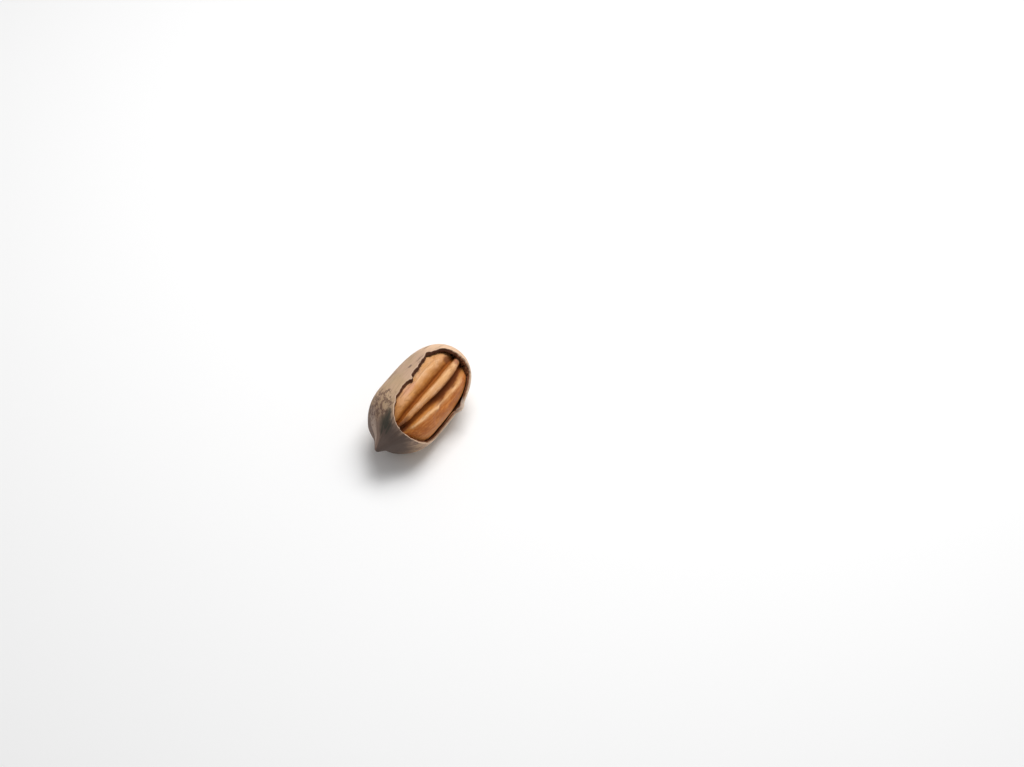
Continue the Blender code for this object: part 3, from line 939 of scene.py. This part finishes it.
def kernel_finish():
    """The kernel's skin: satin orange tan, and deep red brown in its grooves."""
    material, paint = start_finish("kernel_skin")
    place, x, y, z, turn = nut_place(paint)
    groove = paint.add("ShaderNodeAttribute", {"attribute_name": "groove"}, out="Fac")
    angle = paint.add("ShaderNodeAttribute", {"attribute_name": "angle"}, out="Fac")

    def drawn_out(along, across, *noise):
        """Noise that is drawn out along the nut."""
        return paint.noise(paint.vector(x * along, y * across, z * across), *noise)

    cloud = paint.noise(place, 0.3, 3.0)
    blotch = drawn_out(0.5, 1.0, 0.8, 4.0, 0.6)
    streak = drawn_out(0.22, 1.7, 1.0, 4.0, 0.6)
    fine = drawn_out(0.6, 2.2, 1.0, 5.0, 0.65)
    lines = drawn_out(0.045, 0.8, 1.0, 2.0, 0.4)
    wrinkles = drawn_out(0.4, 3.4, 1.0, 4.0, 0.65)
    flecks = drawn_out(0.5, 1.0, 3.6, 3.0, 0.6)
    veins = paint.math("ABSOLUTE", lines - 0.5) + (fine - 0.5) * 0.03
    veins = paint.ease(veins, 0.014, 0.002)

    colour = paint.mix(paint.ease(cloud, 0.38, 0.62), LOBE_TAN, LOBE_PINK)
    colour = paint.mix(paint.ease(streak, 0.5, 0.72) * 0.6, colour, STREAK_CREAM)
    colour = paint.mix(paint.ease(blotch, 0.5, 0.66) * 0.5, colour, BLOTCH_TAN)
    # Towards the tip the skin is a darker orange: partly its own tone and partly painted shade,
    # where the kernel's end curves down away from the light
    to_tip = paint.ease(x + (cloud - 0.5) * 6, 18.0, 8.0)
    colour = paint.mix(to_tip * 0.8, colour, TIP_ORANGE_AND_SHADE)

    # Beyond the wide groove's crest, the outer lobe is a deeper orange: partly its own colour
    # and partly painted shade, since it faces away from the light. The crest is a painted
    # highlight, a pale line where its edge turns towards the light.
    crest_angle = 20 + 10 * paint.ease(x, 12.0, 24.0) + paint.ease(x, 25.0, 30.0)
    beyond = angle + (blotch - 0.5) * 5 - crest_angle
    outer = paint.mix(paint.ease(streak, 0.42, 0.66), OUTER_BROWN, OUTER_ORANGE)
    outer = paint.mix(paint.ease(blotch, 0.50, 0.68) * 0.6, outer, OUTER_BLOTCH)
    colour = paint.mix(paint.ease(beyond, 0.0, 8.0) * 0.92, colour, outer)
    # Painted highlight along the crest
    crest = paint.ease(paint.math("ABSOLUTE", beyond), 3.5, 0.5)
    colour = paint.mix(crest * 0.7, colour, CREST_HIGHLIGHT_CREAM)
    # Painted light: the outer lobe's far flank is lighter, where it rounds away from the light
    # into shade
    lobe_edge_light = paint.ease(angle + (blotch - 0.5) * 10, 46, 60)
    colour = paint.mix(lobe_edge_light * 0.4, colour, EDGE_LIGHT_ORANGE)
    # Painted highlight along the ridge's top towards the stem end
    ridge = paint.ease(paint.math("ABSOLUTE", angle + 2), 8, 3) * paint.ease(x, 21, 27)
    colour = paint.mix(ridge * 0.4, colour, RIDGE_HIGHLIGHT_CREAM)

    # Marks on the skin
    bruise = patch(paint, x, turn, *BRUISE)
    colour = paint.mix(bruise * 0.5, colour, BRUISE_PINK)
    curl = patch(paint, x + (blotch - 0.5) * 3, turn, *CURL)
    colour = paint.mix(curl * 0.75, colour, CURL_BROWN)
    colour = paint.mix(veins * 0.3, colour, VEIN_BROWN)
    colour = paint.mix(paint.ease(flecks, 0.60, 0.72) * 0.3, colour, FLECK_BROWN)

    # The grooves are darker the deeper they go, partly the skin's own deeper red brown and
    # partly painted shade in their floors. The wide one's walls are darkest, with painted shade
    # where they lie in shade.
    uneven = (fine - 0.5) * 0.7 + (blotch - 0.5) * 0.5
    flank = paint.ease(groove + uneven, 0.15, 1.3)
    colour = paint.mix(flank * 0.8, colour, FLANK_ORANGE)
    deep = paint.ease(groove + uneven, 1.25, 2.15)
    wide_side = paint.ease(angle - paint.ease(x, 12.0, 26.0) * 9, 3, 11)
    shallow = paint.ease(paint.math("ABSOLUTE", x - 15), 5.5, 2.5)
    bottom = paint.mix(wide_side * (1 - shallow * 0.7), NARROW_BOTTOM, WIDE_BOTTOM)
    colour = paint.mix(deep * 0.9, colour, bottom)
    # Painted shade on the wide groove's wall
    wide_wall_shade = paint.ease(beyond, -0.8, -3.0) * paint.ease(angle, 4, 17)
    wide_wall_shade = wide_wall_shade * paint.ease(x, 17.5, 23.0)
    colour = paint.mix(wide_wall_shade * 0.85, colour, WIDE_WALL_SHADE)

    # The skin is browner where a lobe and the ridge end
    stem_end = patch(paint, x, angle, *LOBE_STEM_END)
    tip_end = patch(paint, x + (blotch - 0.5) * 3, angle, *RIDGE_TIP_END)
    colour = paint.mix(stem_end * 0.75 + tip_end * 0.8, colour, END_BROWN)

    height = wrinkles * 0.8 + streak * 0.4 + paint.noise(place, 5.0, 3.0) * 0.3
    height = height - veins * 0.5
    gloss = (1 - deep) * (1 - wide_wall_shade) * (0.12 + streak * 0.3)
    sockets = {"Specular IOR Level": 0.08, "Coat Weight": gloss, "Coat Roughness": 0.4}
    end_finish(paint, colour, 0.5 + fine * 0.12, height, 0.00013, **sockets)
    return material


half_tree = kernel_tree()
kernel_skin = kernel_finish()

# Each half: its CAD node and turn, its mesh's columns and rows, and its lot of noise
WRINKLE_DEPTH = 0.00006
HALVES = {
    "kernel_upper": ("kernel_upper_half", KERNEL_TURN, 360, 250, 0.0),
    "kernel_lower": ("kernel_lower_half", KERNEL_TURN + math.pi, 240, 160, 40.0),
}
for name, (node, turn, columns, rows, seed) in HALVES.items():
    half = made_by(
        half_tree, name, turn=turn, columns=columns, rows=rows,
        wrinkle_depth=WRINKLE_DEPTH, seed=seed, skin=kernel_skin,
    )
    show(half)
    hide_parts(node)

# The partition
# The thin corky plate that stands between the kernel's halves, grown from the shell's
# inside. It is bitter dark tissue, dry and crumbly, and shreds of it fill the gap
# between the lobes' ends and the shell.
CORK_DARK = (0.085, 0.026, 0.010)
CORK_PALE = (0.27, 0.105, 0.042)

# The crumbs lie in a bow along the rim: metres from the tip, and degrees of turn
CORK_CRUMBS = 240
CORK_SEED = 3
CORK_SUBDIVISIONS = 3
CORK_SIZES = (0.00008, 0.00038)
CORK_TURNS = (-16, 92)
CORK_MIDDLE = 38
CORK_END = 0.0371
CORK_BOW = 0.0032
CORK_SPREAD = 0.00035
CORK_DEPTH = 0.0011
CORK_LUMPS = 0.00035
LUMPS_PER_METRE = 2200.0


def cork_finish():
    """Dull crumbly cork, dark brown with paler grains."""
    material, paint = start_finish("partition_cork")
    place, *_ = nut_place(paint)
    crumb = paint.noise(place, 2.5, 5.0, 0.65)
    colour = paint.mix(paint.ease(crumb, 0.35, 0.65), CORK_DARK, CORK_PALE)
    sockets = {"Specular IOR Level": 0.1}
    end_finish(paint, colour, 0.85, crumb, 0.0003, **sockets)
    return material


def crumbs_tree():
    """The tree that strews crumbs along the hollow's wall at the stem end."""
    inputs = {
        "Count": "Int", "Smallest": "Float", "Largest": "Float", "Seed": "Int",
        "Skin": "Material",
    }
    tree, grow, given = start_tree("cork_crumbs", inputs)
    count, smallest, largest, seed, skin = given

    def chance(lot, low, high):
        """A random number for each crumb."""
        sockets = {2: low, 3: high, 8: seed + lot}
        return grow.add("FunctionNodeRandomValue", {}, sockets, out=1)

    turn = chance(1, *CORK_TURNS)
    bow = (turn - CORK_MIDDLE) / (CORK_TURNS[1] - CORK_MIDDLE)
    strewn = (chance(2, -1, 1) + chance(3, -1, 1)) * CORK_SPREAD
    x = CORK_END - CORK_BOW * bow ** 2 + strewn
    hollow = egg_share(grow, x, HOLLOW_STATIONS[0], HOLLOW_STATIONS[-1])
    radius = hollow * (NUT_RADIUS - WALL) - chance(4, 0, CORK_DEPTH)
    spot = on_nut(grow, x, radius, turn * math.radians(1))
    spots = grow.add("GeometryNodePoints", {}, {"Count": count, "Position": spot})
    ball = {"Radius": 1.0, "Subdivisions": CORK_SUBDIVISIONS}
    ball = grow.add("GeometryNodeMeshIcoSphere", {}, ball)
    size = grow.vector(*(chance(lot, smallest, largest) for lot in (5, 6, 7)))
    tumble = grow.vector(*(chance(lot, 0, math.tau) for lot in (8, 9, 10)))
    sockets = {"Points": spots, "Instance": ball, "Rotation": tumble, "Scale": size}
    crumbs = grow.add("GeometryNodeInstanceOnPoints", {}, sockets)
    crumbs = grow.add("GeometryNodeRealizeInstances", {}, {0: crumbs})
    lumps = grow.noise(grow.add("GeometryNodeInputPosition"), LUMPS_PER_METRE, 3.0, 0.6)
    lumps = (lumps - 0.5) * CORK_LUMPS
    normal = grow.add("GeometryNodeInputNormal")
    push = grow.add("ShaderNodeVectorMath", {"operation": "SCALE"}, {0: normal, "Scale": lumps})
    crumbs = grow.add("GeometryNodeSetPosition", {}, {"Geometry": crumbs, "Offset": push})
    crumbs = grow.add("GeometryNodeSetShadeSmooth", {}, {0: crumbs})
    crumbs = grow.add("GeometryNodeSetMaterial", {}, {"Geometry": crumbs, "Material": skin})
    grow.add("NodeGroupOutput", {}, {0: crumbs})
    return tree


cork_skin = cork_finish()
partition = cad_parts["partition"]
partition.data.materials.clear()
partition.data.materials.append(cork_skin)
cork = made_by(
    crumbs_tree(), "cork", count=CORK_CRUMBS, smallest=CORK_SIZES[0],
    largest=CORK_SIZES[1], seed=CORK_SEED, skin=cork_skin,
)
show(cork)

# The table and the light
# A plain pale table top under soft studio light from behind and above, and the camera
# where the photograph was taken from.
FOCAL_PIXELS = 2207
PHOTO_WIDTH = 1024
PHOTO_MIDDLE = (512, 383.5)
NUT_IN_PHOTO = (416.0, 398.2)
CAMERA_DISTANCE = 0.6
CAMERA_AZIMUTH = math.radians(-55.92)
CAMERA_ELEVATION = math.radians(47)
NEAREST_SEEN = 0.01
AIMED_FROM_TIP = 0.02035
TABLE_REACH = 3.0
TABLE_WHITE = (0.90, 0.90, 0.90, 1)
STUDIO_GLOW = 0.40

nut_middle = Vector((tip_x + AIMED_FROM_TIP, axis_y, axis_z))
back = Vector((
    math.sin(CAMERA_AZIMUTH) * math.cos(CAMERA_ELEVATION),
    -math.cos(CAMERA_AZIMUTH) * math.cos(CAMERA_ELEVATION),
    math.sin(CAMERA_ELEVATION),
))
right = (-back).cross(Vector((0, 0, 1))).normalized()
up = right.cross(-back)
metres_per_pixel = CAMERA_DISTANCE / FOCAL_PIXELS
aim = (
    nut_middle
    + right * (PHOTO_MIDDLE[0] - NUT_IN_PHOTO[0]) * metres_per_pixel
    + up * (NUT_IN_PHOTO[1] - PHOTO_MIDDLE[1]) * metres_per_pixel
)
lens = bpy.data.cameras.new("camera")
lens.sensor_width = 36
lens.lens = FOCAL_PIXELS * lens.sensor_width / PHOTO_WIDTH
lens.clip_start = NEAREST_SEEN
camera = bpy.data.objects.new("camera", lens)
camera.location = nut_middle + back * CAMERA_DISTANCE
camera.rotation_mode = "QUATERNION"
camera.rotation_quaternion = (aim - camera.location).to_track_quat("-Z", "Y")
bpy.context.scene.collection.objects.link(camera)
bpy.context.scene.camera = camera
bpy.context.scene.view_settings.view_transform = "Standard"


def softbox(name, direction, distance, size, power):
    """A square soft light that faces the nut from a direction."""
    light = bpy.data.lights.new(name, "AREA")
    light.shape = "SQUARE"
    light.size = size
    light.energy = power
    lamp = bpy.data.objects.new(name, light)
    towards = Vector(direction).normalized()
    lamp.location = nut_middle + towards * distance
    lamp.rotation_mode = "QUATERNION"
    lamp.rotation_quaternion = (-towards).to_track_quat("-Z", "Y")
    bpy.context.scene.collection.objects.link(lamp)


softbox("key", (0.40, 0.0, 0.92), distance=0.5, size=0.35, power=2.3)
softbox("fill", (-0.7, -0.5, 0.6), distance=0.7, size=0.5, power=0.15)

floor_mesh = bpy.data.meshes.new("floor")
corners = [(-1, -1, 0), (1, -1, 0), (1, 1, 0), (-1, 1, 0)]
corners = [Vector(corner) * TABLE_REACH for corner in corners]
floor_mesh.from_pydata(corners, [], [range(len(corners))])
floor = bpy.data.objects.new("floor", floor_mesh)
bpy.context.scene.collection.objects.link(floor)
material, paint = start_finish("floor_white")
floor_sockets = {"Base Color": TABLE_WHITE, "Roughness": 0.7}
surface = paint.add("ShaderNodeBsdfPrincipled", {}, floor_sockets)
paint.add("ShaderNodeOutputMaterial", {}, {"Surface": surface})
floor_mesh.materials.append(material)

sky = bpy.data.worlds.new("studio")
sky.use_nodes = True
paint = Recipe(sky.node_tree)
sky_sockets = {"Color": (1, 1, 1, 1), "Strength": STUDIO_GLOW}
glow = paint.add("ShaderNodeBackground", {}, sky_sockets)
paint.add("ShaderNodeOutputWorld", {}, {"Surface": glow})
bpy.context.scene.world = sky
